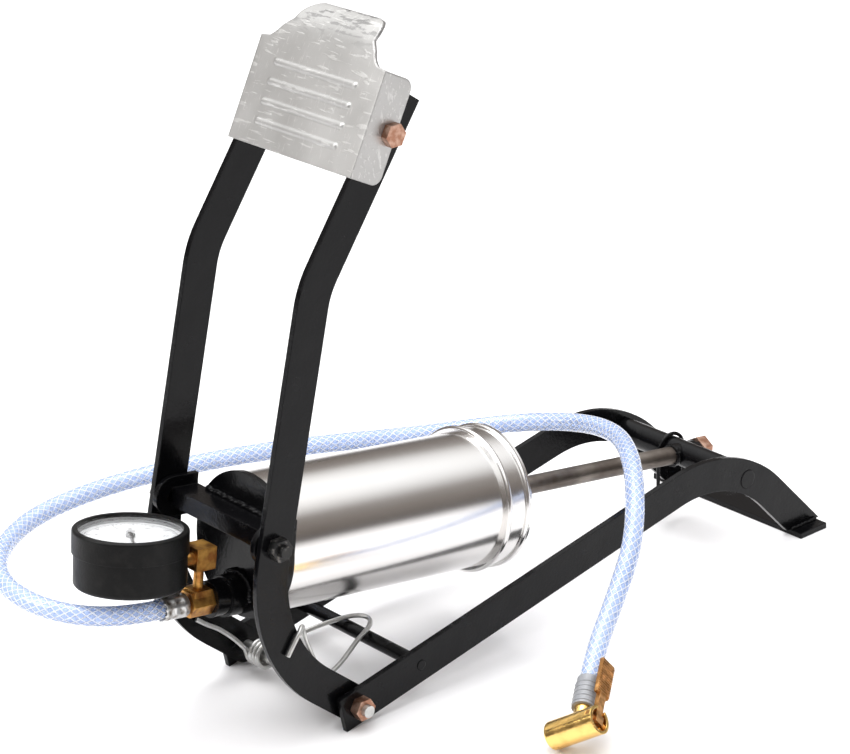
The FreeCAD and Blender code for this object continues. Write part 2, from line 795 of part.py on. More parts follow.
# ---- hose and chuck ----------------------------------------------------------------------
hose_start = barrel_frame.multVec(V(hose_exit_x, 0, -outlet_drop))
body_axis = V(chuck_axis).normalize()
side_axis = body_axis.cross(chuck_hose_way).normalize()
inlet = side_axis.cross(body_axis)
rim_drop = chuck_radius * math.sqrt(1 - body_axis.z ** 2)
mouth = V(front + chuck_mouth[0], chuck_mouth[1], rim_drop + 0.1)
cam_end = mouth + body_axis * chuck_length
inlet_at = mouth + body_axis * chuck_inlet_at
hose_end = inlet_at + inlet * (chuck_inlet_reach + chuck_plug)
hose_lead_in = hose_end + inlet * 24.0

# hand-chosen points of the free hose, from the front foot corner
hose_route = [(-85.5, 0.0, 74.6), (-105.6, 13.1, 77.0), (-116.2, 36.9, 79.0),
              (-113.1, 66.7, 80.0), (-94.3, 92.6, 81.0), (-62.5, 109.5, 82.0),
              (-18.5, 111.0, 83.0), (35.3, 99.6, 83.0), (93.0, 83.0, 79.0),
              (145.0, 66.0, 73.0), (187.0, 44.0, 74.0), (206.0, 12.0, 79.0),
              (202.0, -22.0, 85.0), (184.0, -52.0, 86.0), (163.0, -76.0, 77.0),
              (146.0, -91.0, 63.0), (125.0, -101.0, 47.0)]


def hose_points():
    points = [hose_start]
    points += [V(front + x, y, z) for x, y, z in hose_route]
    first = points[1]
    ahead = barrel_frame.Rotation.multVec(V(-1, 0, 0))
    points[1] = hose_start + ahead * (first - hose_start).Length
    points += [hose_lead_in, hose_end]
    return points


def hose_radii(points):
    radii = []
    for before, corner, after in zip(points, points[1:], points[2:]):
        turn = (corner - before).getAngle(after - corner)
        shorter = min((corner - before).Length, (after - corner).Length)
        radii.append(0.45 * shorter / math.tan(turn / 2))
    return radii


def hose():
    points = hose_points()
    radii = hose_radii(points)
    solid = rod_along(points, radii, hose_radius)
    length = path_wire(points, radii).Length
    section = math.pi * hose_radius ** 2
    print("hose length", round(length, 1), "volume ratio", round(solid.Volume / section / length, 5))
    print("hose radii", [round(radius, 1) for radius in radii])
    runs = [round((b - a).Length, 1) for a, b in zip(points, points[1:])]
    print("hose runs", runs)
    return solid


chuck_pin_at = cam_end - body_axis * chuck_pin_back
# The chuck's own frame: Z along the hose, X along the body towards its open end.
chuck_turn = FreeCAD.Rotation(body_axis, side_axis * -1, inlet, "XZY")


def chuck_ferrule():
    start = inlet_at + inlet * chuck_inlet_reach
    sleeve = pipe(hose_radius + ferrule_wall, hose_radius, start, start + inlet * chuck_sleeve)
    return sleeve.fuse(cylinder(hose_radius, start, hose_end)).removeSplitter()


def chuck_body():
    """Turned body: valve bore at the low end, open cam pocket at the high end, side inlet."""
    body = cylinder(chuck_radius, mouth, cam_end)
    rim = [edge for edge in body.Edges
           if edge.Closed and (edge.CenterOfMass - mouth).Length < 0.01]
    body = body.makeFillet(1.5, rim)
    body = body.fuse(cylinder(chuck_inlet_radius, inlet_at,
                              inlet_at + inlet * chuck_inlet_reach))
    body = body.cut(cylinder(chuck_bore_radius, mouth - body_axis,
                             mouth + body_axis * chuck_bore_depth))
    body = body.cut(cylinder(chuck_seal_radius, mouth, mouth + body_axis * chuck_seal_depth))
    pocket = cam_end - body_axis * chuck_cavity_depth
    body = body.cut(cylinder(chuck_cavity_radius, pocket, cam_end + body_axis))
    slot = box(V(-chuck_cavity_depth, -chuck_cam / 2 - 0.4, 0),
               V(chuck_radius, chuck_cam / 2 + 0.4, chuck_radius * 2))
    slot.Placement = FreeCAD.Placement(cam_end, chuck_turn)
    body = body.cut(slot)
    return body.cut(cylinder(chuck_pin_radius, chuck_pin_at - side_axis * chuck_length,
                             chuck_pin_at + side_axis * chuck_length))


def chuck_pin():
    half = side_axis * (chuck_radius - 0.3)
    return cylinder(chuck_pin_radius, chuck_pin_at - half, chuck_pin_at + half)


def chuck_seal():
    back = mouth + body_axis * chuck_seal_depth
    return pipe(chuck_seal_radius, 2.0, back - body_axis * chuck_seal_thick, back)


def chuck_lever():
    """Square cam on its pin, a neck, and a ribbed thumb plate beside the hose."""
    half = chuck_cam / 2
    cam = box(V(-half, -half, -half), V(half, half, half))
    neck = box(V(-1.3, -chuck_neck / 2, 0), V(1.3, chuck_neck / 2, chuck_plate_from + 1))
    wide = chuck_plate_width / 2
    plate = box(V(-1.0, -wide, chuck_plate_from), V(1.0, wide, chuck_lever_length))
    piece = cam.fuse(neck).fuse(plate)
    ribs = int((chuck_lever_length - chuck_plate_from - 1) / chuck_rib_pitch)
    for k in range(ribs):
        z = chuck_plate_from + 0.8 + k * chuck_rib_pitch
        piece = piece.fuse(box(V(0.9, -wide, z), V(1.5, wide, z + chuck_rib_pitch / 2)))
    piece = piece.cut(cylinder(chuck_pin_radius + fit_clearance, V(0, -wide, 0), V(0, wide, 0)))
    piece.Placement = FreeCAD.Placement(chuck_pin_at, chuck_turn)
    return piece


# ---- lock link ---------------------------------------------------------------------------
def lock_link():
    """Closed wire link, hung round the cross tube beside the rod."""
    y = rod_radius + 1.2 + link_wire_radius + 2.0
    half = link_width / 2
    bow = half
    top = tube_at.z + cross_tube_radius + side_gap + link_wire_radius
    low = top - link_height + 2 * link_wire_radius
    x = tube_at.x
    left_low, left_high = V(x - half, y, low + bow), V(x - half, y, top - bow)
    right_low, right_high = V(x + half, y, low + bow), V(x + half, y, top - bow)
    wire = Part.Wire([Part.LineSegment(left_low, left_high).toShape(),
                      Part.Arc(left_high, V(x, y, top), right_high).toShape(),
                      Part.LineSegment(right_high, right_low).toShape(),
                      Part.Arc(right_low, V(x, y, low), left_low).toShape()])
    ring = Part.Wire(Part.Circle(left_low, V(0, 0, 1), link_wire_radius).toShape())
    return wire.makePipeShell([ring], True, False)


nodes = {
    "base_bar_near": base_bar(-1), "base_bar_far": base_bar(1), "foot_plate": foot_plate(),
    "tie_bar": tie_bar(), "pivot_spindle": pivot_spindle(), "pivot_nut": pivot_nut(),
    "pivot_spacers": pivot_spacers(),
    "arm_near": arm(-1), "arm_far": arm(1), "lever_bolts": lever_bolts(),
    "lever_nuts": lever_nuts(), "pedal_bolts": pedal_bolts(), "pedal_nuts": pedal_nuts(),
    "pedal": pedal(), "return_spring": return_spring(),
    "cross_tube": cross_tube(), "lock_link": lock_link(),
    "hose": hose(), "chuck_ferrule": chuck_ferrule(), "chuck_body": chuck_body(),
    "chuck_pin": chuck_pin(), "chuck_seal": chuck_seal(), "chuck_lever": chuck_lever(),
}
for make in (piston_rod, rod_collar, rod_washer, rod_nut, piston, piston_cup, piston_nut,
             barrel_tube, end_ring, rod_bush, head_plate, head_gasket, pivot_bracket,
             outlet_boss, check_ball, check_spring, outlet_tee, gauge_stem, gauge_elbow,
             gauge_case, gauge_bezel, gauge_dial, gauge_glass, gauge_pointer, hose_barb,
             hose_ferrule):
    nodes[make.__name__] = in_barrel(make)

for name, shape in nodes.items():
    if not shape.isValid() or shape.Volume <= 0:
        print("bad solid", name, shape.isValid(), shape.Volume)
    shape.exportStep(f"parts/{name}.step")

print("pivot", pivot, "lever bolt", lever_bolt, "rod pivot", tube_at)
print("pedal bolt", pedal_bolt, "chuck mouth", mouth, "axis", body_axis)
print("chuck pin", chuck_pin_at, "side axis", side_axis, "inlet", inlet)
dial_mark = leaned(Part.Vertex(gauge_centre(rim_top - dial_depth)))
dial_tip = leaned(Part.Vertex(gauge_centre(rim_top - dial_depth + 1)))
for marker in (dial_mark, dial_tip):
    marker.Placement = barrel_frame.multiply(marker.Placement)
print("dial centre", dial_mark.Point, "normal", dial_tip.Point - dial_mark.Point,
      "hose exit", hose_start)
print("hose end", hose_end)
print("nodes", len(nodes))
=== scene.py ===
"""A single-barrel foot pump, piece by piece in the order that it goes together."""

import json
import math

import bpy
from mathutils import Euler, Matrix, Vector


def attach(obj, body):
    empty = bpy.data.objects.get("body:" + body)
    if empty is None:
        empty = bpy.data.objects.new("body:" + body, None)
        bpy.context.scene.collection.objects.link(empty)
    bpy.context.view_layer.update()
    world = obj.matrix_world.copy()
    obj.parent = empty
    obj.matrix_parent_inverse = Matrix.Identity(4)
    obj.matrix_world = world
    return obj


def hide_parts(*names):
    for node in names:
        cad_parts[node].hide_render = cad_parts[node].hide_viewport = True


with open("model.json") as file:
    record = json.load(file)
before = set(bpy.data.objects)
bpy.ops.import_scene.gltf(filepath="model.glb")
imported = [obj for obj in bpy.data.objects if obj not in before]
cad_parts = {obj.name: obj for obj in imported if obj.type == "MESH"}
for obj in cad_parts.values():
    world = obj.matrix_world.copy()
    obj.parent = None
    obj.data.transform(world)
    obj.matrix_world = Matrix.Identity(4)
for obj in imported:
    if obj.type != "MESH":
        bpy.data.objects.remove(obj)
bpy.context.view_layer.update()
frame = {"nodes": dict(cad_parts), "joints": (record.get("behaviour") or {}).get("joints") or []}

# ---- base frame ---------------------------------------------------------------------
# Two flat steel bars on edge, welded to a foot plate behind and held apart by a tie bar
# in front. All of it is dipped in thick black enamel, which runs and pimples as it dries.


class Value:
    """A node's output that arithmetic can be written on."""

    def __init__(self, sheet, socket):
        self.sheet, self.socket = sheet, socket

    def maths(self, operation, *terms):
        return self.sheet.node("ShaderNodeMath", {"operation": operation}, terms)

    def __add__(self, other):
        return self.maths("ADD", self, other)

    def __mul__(self, other):
        return self.maths("MULTIPLY", self, other)

    def __sub__(self, other):
        return self.maths("SUBTRACT", self, other)

    def __rsub__(self, other):
        return self.maths("SUBTRACT", other, self)

    __radd__, __rmul__ = __add__, __mul__

    def over(self, edge, softness):
        """0 below the edge and 1 above it, with a soft step."""
        step = (self - edge) * (1 / softness)
        return step.maths("MINIMUM", step.maths("MAXIMUM", step, 0.0), 1.0)


class NodeSheet:
    """A node tree that one method fills."""

    def __init__(self, tree):
        self.tree = tree

    def feed(self, socket, value):
        if isinstance(value, Value):
            self.tree.links.new(value.socket, socket)
        else:
            socket.default_value = value

    def node(self, kind, settings, inputs, output=0):
        made = self.tree.nodes.new(kind)
        for name, value in settings.items():
            if name == "stops":
                stops = made.color_ramp.elements
                while len(stops) < len(value):
                    stops.new(1.0)
                for stop, (position, colour) in zip(stops, value):
                    stop.position, stop.color = position, colour
            else:
                setattr(made, name, value)
        pairs = inputs.items() if isinstance(inputs, dict) else enumerate(inputs)
        for name, value in pairs:
            self.feed(made.inputs[name], value)
        return Value(self, made.outputs[output])


class Finish(NodeSheet):
    """A procedural material, with its constants set on the shader's own sockets."""

    def __init__(self, name, **constants):
        self.material = bpy.data.materials.new(name)
        self.material.use_nodes = True
        super().__init__(self.material.node_tree)
        self.shader = self.tree.nodes["Principled BSDF"]
        self.place = self.node("ShaderNodeTexCoord", {}, {}, "Object")
        for socket, value in constants.items():
            self.shader.inputs[socket.replace("_", " ")].default_value = value

    def noise(self, scale, detail=2.0, stretch=None):
        place = self.place
        if stretch:
            place = self.node("ShaderNodeMapping", {}, {"Vector": place, "Scale": stretch})
        return self.node("ShaderNodeTexNoise", {},
                         {"Vector": place, "Scale": scale, "Detail": detail})

    def mix(self, factor, first, second):
        return self.node("ShaderNodeMix", {"data_type": "RGBA"},
                         {0: factor, 6: first, 7: second}, 2)

    def surface(self, colour, roughness, height=None, depth=0.0002, edge=0.0):
        """Colour, roughness, fine relief and, with an edge, softly rounded arrises."""
        self.feed(self.shader.inputs["Base Color"], colour)
        self.feed(self.shader.inputs["Roughness"], roughness)
        way = None
        if edge:
            way = self.node("ShaderNodeBevel", {"samples": 4}, {"Radius": edge})
        if height is not None:
            inputs = {"Height": height, "Distance": depth, "Strength": 1.0}
            if way:
                inputs["Normal"] = way
            way = self.node("ShaderNodeBump", {}, inputs)
        if way:
            self.feed(self.shader.inputs["Normal"], way)


def coat_nodes(finish, *names):
    for name in names:
        for slot in frame["nodes"][name].material_slots:
            slot.material = finish.material


enamel = Finish("black_enamel", Coat_Weight=0.05, Coat_Roughness=0.05, Specular_IOR_Level=0.14)
runs = enamel.noise(48.0, 1.0)
pimples = enamel.noise(620.0, 2.0)
dust = enamel.noise(140.0, 4.0).over(0.58, 0.16)
enamel.surface(enamel.mix(dust * 0.25, (0.0025, 0.0025, 0.003, 1), (0.012, 0.012, 0.013, 1)),
               0.2 + dust * 0.14, runs * 1.0 + pimples * 0.14, 0.0006, 0.0008)
coat_nodes(enamel, "base_bar_near", "base_bar_far", "foot_plate", "tie_bar", "pivot_spacers")

# ---- weld seams ---------------------------------------------------------------------
# Beads of stick weld under the enamel, at the foot plate, the pivot bracket, the outlet
# boss and where the rod meets its cross tube. Each is lumps laid along a line.


def growth_tree(name, sizes):
    """A geometry tree with named inputs for the sizes, one input mesh and a material."""
    tree = bpy.data.node_groups.new(name, "GeometryNodeTree")
    tree.interface.new_socket("Geometry", in_out="INPUT", socket_type="NodeSocketGeometry")
    for size in sizes:
        kind = "NodeSocketInt" if size in ("Count", "Seed") else "NodeSocketFloat"
        tree.interface.new_socket(size, in_out="INPUT", socket_type=kind)
    tree.interface.new_socket("Material", in_out="INPUT", socket_type="NodeSocketMaterial")
    tree.interface.new_socket("Geometry", in_out="OUTPUT", socket_type="NodeSocketGeometry")
    sheet = NodeSheet(tree)
    given = tree.nodes.new("NodeGroupInput")
    return sheet, {socket.name: Value(sheet, socket) for socket in given.outputs if socket.name}


def end_tree(sheet, instances, given):
    solid = sheet.node("GeometryNodeRealizeInstances", {}, [instances])
    painted = sheet.node("GeometryNodeSetMaterial", {},
                         {"Geometry": solid, "Material": given["Material"]})
    sheet.feed(sheet.tree.nodes.new("NodeGroupOutput").inputs[0], painted)
    return sheet.tree


def grow(tree, carrier, **sizes):
    """The plain mesh that the tree makes on a carrier mesh."""
    holder = bpy.data.objects.new("holder", carrier)
    bpy.context.scene.collection.objects.link(holder)
    modifier = holder.modifiers.new("growth", "NODES")
    modifier.node_group = tree
    for item in tree.interface.items_tree:
        if item.in_out == "INPUT" and item.name in sizes:
            modifier[item.identifier] = sizes[item.name]
    seen = holder.evaluated_get(bpy.context.evaluated_depsgraph_get())
    mesh = bpy.data.meshes.new_from_object(seen)
    bpy.data.objects.remove(holder)
    return mesh


def line_mesh(points):
    mesh = bpy.data.meshes.new("line")
    mesh.from_pydata(points, [(k, k + 1) for k in range(len(points) - 1)], [])
    return mesh


def fit_piece(name, mesh, finish, body, replaces=()):
    """A finished piece at the origin, on its body."""
    piece = bpy.data.objects.new(name, mesh)
    bpy.context.scene.collection.objects.link(piece)
    if not mesh.materials:
        mesh.materials.append(finish.material)
    for face in mesh.polygons:
        face.use_smooth = True
    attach(piece, body)
    if replaces:
        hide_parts(*replaces)
    return piece


def join_meshes(meshes):
    points, faces = [], []
    for mesh in meshes:
        start = len(points)
        points += [vertex.co.copy() for vertex in mesh.vertices]
        faces += [[start + k for k in face.vertices] for face in mesh.polygons]
    whole = bpy.data.meshes.new("joined")
    whole.from_pydata(points, [], faces)
    return whole


bead_sheet, bead = growth_tree("weld_bead", ["Bead size", "Pitch", "Seed"])
seam = bead_sheet.node("GeometryNodeMeshToCurve", {}, [bead["Geometry"]])
steps = bead_sheet.node("GeometryNodeResampleCurve", {"mode": "LENGTH"},
                        {"Curve": seam, "Length": bead["Pitch"]})
lump = bead_sheet.node("GeometryNodeMeshIcoSphere", {},
                       {"Radius": bead["Bead size"], "Subdivisions": 3}, "Mesh")
spread = bead_sheet.node("FunctionNodeRandomValue", {"data_type": "FLOAT_VECTOR"},
                         {"Min": (0.75, 0.75, 0.6), "Max": (1.25, 1.25, 1.0),
                          "Seed": bead["Seed"]}, "Value")
lumps = bead_sheet.node("GeometryNodeInstanceOnPoints", {},
                        {"Points": steps, "Instance": lump, "Scale": spread})
weld_tree = end_tree(bead_sheet, lumps, bead)


def weld(name, paths, size, body):
    """A bead of weld along each path, under the enamel of one body."""
    meshes = [grow(weld_tree, line_mesh(path), Material=enamel.material, Pitch=size * 0.8,
                   Seed=k, **{"Bead size": size}) for k, path in enumerate(paths)]
    return fit_piece(name, join_meshes(meshes), enamel, body)


plate_top, half_seam = 0.0034, 0.0085
bar_faces = (0.0436, 0.0479)
foot_welds = [[(x, side * y, plate_top) for x in (-half_seam, 0.0, half_seam)]
              for side in (-1, 1) for y in bar_faces]
weld("foot_plate_weld", foot_welds, 0.0012, "base")

# ---- cross tube, rod and piston -----------------------------------------------------
# The bare steel rod is welded through a black cross tube that turns in the base bars. A
# nut holds it behind, and inside the barrel it carries the cup leather and its nut.
coat_nodes(enamel, "cross_tube", "rod_collar", "rod_washer", "lock_link")

bare_steel = Finish("bare_rod_steel", Metallic=0.9)
streaks = bare_steel.noise(30.0, 4.0, (1.0, 14.0, 14.0))
oil = bare_steel.noise(45.0, 3.0).over(0.45, 0.25)
bare_steel.surface(bare_steel.mix(oil, (0.12, 0.10, 0.085, 1), (0.26, 0.23, 0.205, 1)),
                   0.32 + streaks * 0.22, streaks, 0.0001)
coat_nodes(bare_steel, "piston_rod")

copper_zinc = Finish("aged_plated_nut", Metallic=0.95)
tarnish = copper_zinc.noise(260.0, 3.0).over(0.42, 0.22)
copper_zinc.surface(copper_zinc.mix(tarnish, (0.34, 0.17, 0.11, 1), (0.58, 0.38, 0.29, 1)),
                    0.3 + tarnish * 0.15, copper_zinc.noise(900.0), 0.0001, 0.0004)
coat_nodes(copper_zinc, "rod_nut", "piston_nut")

cast_metal = Finish("piston_casting", Metallic=0.8)
cast_metal.surface(cast_metal.mix(cast_metal.noise(90.0), (0.42, 0.42, 0.43, 1),
                                  (0.55, 0.55, 0.56, 1)),
                   0.45 + cast_metal.noise(200.0) * 0.15, cast_metal.noise(700.0), 0.0001)
coat_nodes(cast_metal, "piston")

black_rubber = Finish("seal_rubber")
black_rubber.surface(black_rubber.mix(black_rubber.noise(200.0), (0.012, 0.012, 0.012, 1),
                                      (0.03, 0.03, 0.03, 1)),
                     0.6 + black_rubber.noise(300.0) * 0.15, black_rubber.noise(900.0), 0.0001)
coat_nodes(black_rubber, "piston_cup", "head_gasket", "chuck_seal")

joints = {joint["name"]: joint for joint in frame["joints"]}
barrel_way = Vector(joints["barrel_slide"]["axis"])
barrel_tilt = Matrix.Rotation(math.atan2(-barrel_way.z, barrel_way.x), 4, "Y")
rod_frame = Matrix.Translation(joints["rod_swing"]["pos_m"]) @ barrel_tilt


def along_rod(x, y, z):
    """A place measured from the rod's hinge along the tilted barrel, in millimetres."""
    return tuple(rod_frame @ (Vector((x, y, z)) / 1000))


def round_seam(along, radius, drop, step, count):
    """A seam round the rod's line, or round a line that far below it."""
    return [along_rod(along, radius * math.cos(k * step), radius * math.sin(k * step) - drop)
            for k in range(count)]


weld("rod_weld", [round_seam(-8.2, 5.0, 0.0, math.pi / 9, 19)], 0.0014, "rod")

# ---- barrel -------------------------------------------------------------------------
# A rolled steel tube with a bright nickel-chrome plate, drawn lines round it, and a wider
# beaded ring pressed on the end that the rod comes out of.
chrome = Finish("bright_plate", Metallic=1.0)
drawn = chrome.noise(420.0, 3.0, (6.0, 0.12, 0.12))
haze = chrome.noise(16.0, 3.0, (0.5, 1.6, 1.6))
chrome.surface(chrome.mix(haze, (0.72, 0.69, 0.66, 1), (0.86, 0.86, 0.86, 1)),
               0.12 + haze * 0.08 + drawn * 0.05, drawn, 0.000012)
coat_nodes(chrome, "barrel_tube", "end_ring")

# ---- head plate, bracket and outlet boss --------------------------------------------
# The black disc closes the barrel. The cross bar with its two ears, and the turned boss
# with the check valve in it, are welded on its face.
coat_nodes(enamel, "head_plate", "pivot_bracket", "outlet_boss")

plate_face = -298.2
bar_seams = ((19.9, 26.0), (9.6, 30.0))     # height of each, and half its length
ear_side, ear_foot = 38.0, 19.4
boss_radius, outlet_drop = 10.6, 24.0
seams = [[along_rod(plate_face, y, z) for y in (-reach, 0, reach)] for z, reach in bar_seams]
seams += [[along_rod(x, side * ear_side, ear_foot) for x in (-311.0, -305.0, -299.0)]
          for side in (-1, 1)]
seams.append(round_seam(-298.4, boss_radius, outlet_drop, math.pi / 10, 11))
weld("bracket_weld", seams, 0.0018, "barrel")

bright_zinc = Finish("zinc_plate", Metallic=0.95)
spangle = bright_zinc.noise(300.0, 3.0)
bright_zinc.surface(bright_zinc.mix(spangle, (0.42, 0.42, 0.41, 1), (0.68, 0.68, 0.66, 1)),
                    0.28 + spangle * 0.18, bright_zinc.noise(1200.0), 0.00005)
coat_nodes(bright_zinc, "check_ball", "check_spring", "pivot_spindle")

# ---- outlet tee, stem and elbow -----------------------------------------------------
# Cut and soldered brass: a faceted block on the boss, a thin stem up to a square block
# behind the gauge. Flux and heat have browned it.
old_brass = Finish("browned_brass", Metallic=0.9)
heat = old_brass.noise(150.0, 4.0).over(0.4, 0.25)
old_brass.surface(old_brass.mix(heat, (0.30, 0.12, 0.03, 1), (0.66, 0.36, 0.09, 1)),
                  0.28 + heat * 0.18, old_brass.noise(500.0, 3.0), 0.0003, 0.0006)
coat_nodes(old_brass, "outlet_tee", "gauge_stem", "gauge_elbow", "hose_barb", "rod_bush")

# ---- pressure gauge -----------------------------------------------------------------
# A black moulded case with a wider top band, a white card dial with printed marks and
# numbers, a thin needle, and a flat clear glass. It is screwed on a little off square.
case_black = Finish("gauge_case_black", Specular_IOR_Level=0.16)
case_black.surface(case_black.mix(case_black.noise(160.0, 3.0).over(0.5, 0.3),
                                  (0.004, 0.004, 0.004, 1), (0.010, 0.0095, 0.009, 1)),
                   0.34 + case_black.noise(220.0, 3.0) * 0.16, case_black.noise(800.0, 2.0),
                   0.00008, 0.0005)
coat_nodes(case_black, "gauge_case", "gauge_bezel")

card = Finish("dial_card")
card.surface(card.mix(card.noise(120.0, 3.0), (0.86, 0.87, 0.88, 1), (0.95, 0.95, 0.95, 1)),
             0.55 + card.noise(300.0) * 0.1)
coat_nodes(card, "gauge_dial")

needle_black = Finish("needle_black")
needle_black.surface(needle_black.mix(needle_black.noise(300.0), (0.01, 0.01, 0.01, 1),
                                      (0.03, 0.03, 0.03, 1)),
                     0.35 + needle_black.noise(400.0) * 0.1)
coat_nodes(needle_black, "gauge_pointer")

glass = Finish("clear_glass", Transmission_Weight=1.0, IOR=1.45, Alpha=0.35)
glass.surface(glass.mix(glass.noise(40.0), (0.96, 0.98, 1.0, 1), (1.0, 1.0, 1.0, 1)),
              0.02 + glass.noise(90.0) * 0.03)
coat_nodes(glass, "gauge_glass")

dial_ink = Finish("dial_ink")
dial_ink.surface(dial_ink.mix(dial_ink.noise(400.0), (0.05, 0.05, 0.06, 1),
                              (0.12, 0.12, 0.13, 1)), 0.5 + dial_ink.noise(300.0) * 0.1)

gauge_lean, dial_turn = math.radians(4.4), math.radians(105)
ink_lift = 0.00004
dial_centre = Vector(joints["needle_turn"]["pos_m"])
dial_tilt = barrel_tilt @ Matrix.Rotation(-gauge_lean, 4, "X")
dial_up = dial_tilt @ Vector((math.cos(dial_turn), math.sin(dial_turn), 0))
dial_out = dial_tilt @ Vector((0, 0, 1))
dial_right = dial_up.cross(dial_out)
dial_place = Matrix.Translation(dial_centre + dial_out * ink_lift) @ Matrix(
    (dial_right, dial_up, dial_out)).transposed().to_4x4()

tick_sheet, tick = growth_tree("dial_ticks", ["Count", "Radius", "Length", "Width", "Sweep"])
row = tick_sheet.node("GeometryNodeMeshLine", {}, {"Count": tick["Count"]})
number = tick_sheet.node("GeometryNodeInputIndex", {}, {})
share = number.maths("DIVIDE", number, tick["Count"] - 1.0)
turn = (share - 0.5) * tick["Sweep"]
where = tick_sheet.node("ShaderNodeCombineXYZ", {},
                        [turn.maths("SINE", turn) * tick["Radius"],
                         turn.maths("COSINE", turn) * tick["Radius"], 0.0])
ring_of_points = tick_sheet.node("GeometryNodeSetPosition", {},
                                 {"Geometry": row, "Position": where})
tick_box = tick_sheet.node("ShaderNodeCombineXYZ", {},
                           [tick["Width"], tick["Length"], 0.00005])
mark = tick_sheet.node("GeometryNodeMeshCube", {}, {"Size": tick_box}, "Mesh")
facing = tick_sheet.node("ShaderNodeCombineXYZ", {}, [0.0, 0.0, turn * -1.0])
marks = tick_sheet.node("GeometryNodeInstanceOnPoints", {},
                        {"Points": ring_of_points, "Instance": mark, "Rotation": facing})
tick_tree = end_tree(tick_sheet, marks, tick)

dial_sweep = 270
# How many marks in each row, then their radius, length and width: fine ones, long ones at
# the numbers, and the thin band outside both.
tick_rows = ((51, 0.0210, 0.0014, 0.00025), (11, 0.0203, 0.0028, 0.0005),
             (181, 0.0219, 0.0003, 0.0004))
dial_marks = [grow(tick_tree, line_mesh([(0, 0, 0)]), Material=dial_ink.material, Count=count,
                   Radius=radius, Length=length, Width=width, Sweep=math.radians(dial_sweep))
              for count, radius, length, width in tick_rows]
top_number, numeral_height, numeral_radius = 10, 0.0042, 0.0158
for k in range(0, top_number + 1, 2):
    numeral = bpy.data.curves.new("numeral", "FONT")
    numeral.body, numeral.size, numeral.extrude = str(k), numeral_height, 0.00002
    numeral.align_x = numeral.align_y = "CENTER"
    written = bpy.data.objects.new("numeral", numeral)
    bpy.context.scene.collection.objects.link(written)
    shape = bpy.data.meshes.new_from_object(
        written.evaluated_get(bpy.context.evaluated_depsgraph_get()))
    bpy.data.objects.remove(written)
    angle = math.radians(dial_sweep * (k / top_number - 0.5))
    shape.transform(Matrix.Translation((numeral_radius * math.sin(angle),
                                        numeral_radius * math.cos(angle), 0)))
    dial_marks.append(shape)
dial_print = join_meshes(dial_marks)
dial_print.transform(dial_place)
fit_piece("dial_print", dial_print, dial_ink, "barrel")

# ---- hose ferrule -------------------------------------------------------------------
# A thin zinc sleeve over the hose on its barb, crimped in eight flats, with the hose's
# side torn into short teeth.


def sleeve_mesh(rings, count=64):
    """A closed wall from rings of (along, radius) at each turn, joined end to end."""
    points, faces = [], []
    for ring in rings:
        for k in range(count):
            along, radius = ring(k / count * math.tau)
            around = k / count * math.tau
            points.append((along, radius * math.cos(around), radius * math.sin(around)))
    total = len(rings)
    for j in range(total):
        for k in range(count):
            a, b = j * count + k, j * count + (k + 1) % count
            c, d = ((j + 1) % total) * count + (k + 1) % count, ((j + 1) % total) * count + k
            faces.append((a, b, c, d))
    mesh = bpy.data.meshes.new("sleeve")
    mesh.from_pydata(points, [], faces)
    return mesh


def crimp(along, depth):
    """A ring pinched in by eight flats."""
    return lambda turn: (along, 5.75 - depth * (0.5 + 0.5 * math.cos(8 * turn)))


def torn_edge(radius):
    return lambda turn: (-343.3 + 0.9 * abs(math.sin(5.5 * turn)), radius)


ferrule_rings = [torn_edge(5.7), crimp(-341.8, 0.1), crimp(-340.6, 0.5), crimp(-338.4, 0.6),
                 crimp(-337.6, 0.2), crimp(-336.4, 0.2), crimp(-335.6, 0.6),
                 crimp(-333.2, 0.6), crimp(-332.2, 0.15), crimp(-329.4, 0.0),
                 lambda turn: (-329.3, 3.2), lambda turn: (-336.0, 3.2),
                 lambda turn: (-336.3, 4.95), torn_edge(4.95)]
ferrule = sleeve_mesh(ferrule_rings)
ferrule.transform(rod_frame @ Matrix.Translation((0, 0, -outlet_drop / 1000))
                  @ Matrix.Scale(0.001, 4))
crimped_zinc = Finish("crimped_zinc", Metallic=0.9)
grime = crimped_zinc.noise(330.0, 4.0).over(0.5, 0.2)
crimped_zinc.surface(crimped_zinc.mix(grime, (0.62, 0.62, 0.61, 1), (0.20, 0.17, 0.14, 1)),
                     0.3 + grime * 0.3, crimped_zinc.noise(900.0), 0.0001)
fit_piece("crimped_ferrule", ferrule, crimped_zinc, "barrel", ["hose_ferrule"])

# ---- hose ---------------------------------------------------------------------------
# Clear blue-tinted PVC with a white braid of nine threads each way under its skin. It
# leaves the tee, sweeps round behind the barrel, and hangs down over the near side.
hose_route = [(-402.5, 0.0, 74.6), (-422.6, 13.1, 77.0), (-433.2, 36.9, 79.0),
              (-430.1, 66.7, 80.0), (-411.3, 92.6, 81.0), (-379.5, 109.5, 82.0),
              (-335.5, 111.0, 83.0), (-281.7, 99.6, 83.0), (-224.0, 83.0, 79.0),
              (-172.0, 66.0, 73.0), (-130.0, 44.0, 74.0), (-111.0, 12.0, 79.0),
              (-115.0, -22.0, 85.0), (-133.0, -52.0, 86.0), (-154.0, -76.0, 77.0),
              (-171.0, -91.0, 63.0), (-192.0, -101.0, 47.0)]
hose_start, hose_end = (-379.513, 0.0, 71.032), (-235.820, -125.961, 22.380)
hose_lead_in = (-217.775, -112.716, 31.038)
control = [Vector(point) / 1000 for point in [hose_start, *hose_route, hose_lead_in, hose_end]]
hose_line = bpy.data.curves.new("hose_line", "CURVE")
hose_line.dimensions = "3D"
hose_line.resolution_u = 14
spline = hose_line.splines.new("NURBS")
spline.points.add(len(control) - 1)
for point, spot in zip(spline.points, control):
    point.co = (*spot, 1.0)
spline.order_u = 3
spline.use_endpoint_u = True
laid_line = bpy.data.objects.new("hose_line", hose_line)
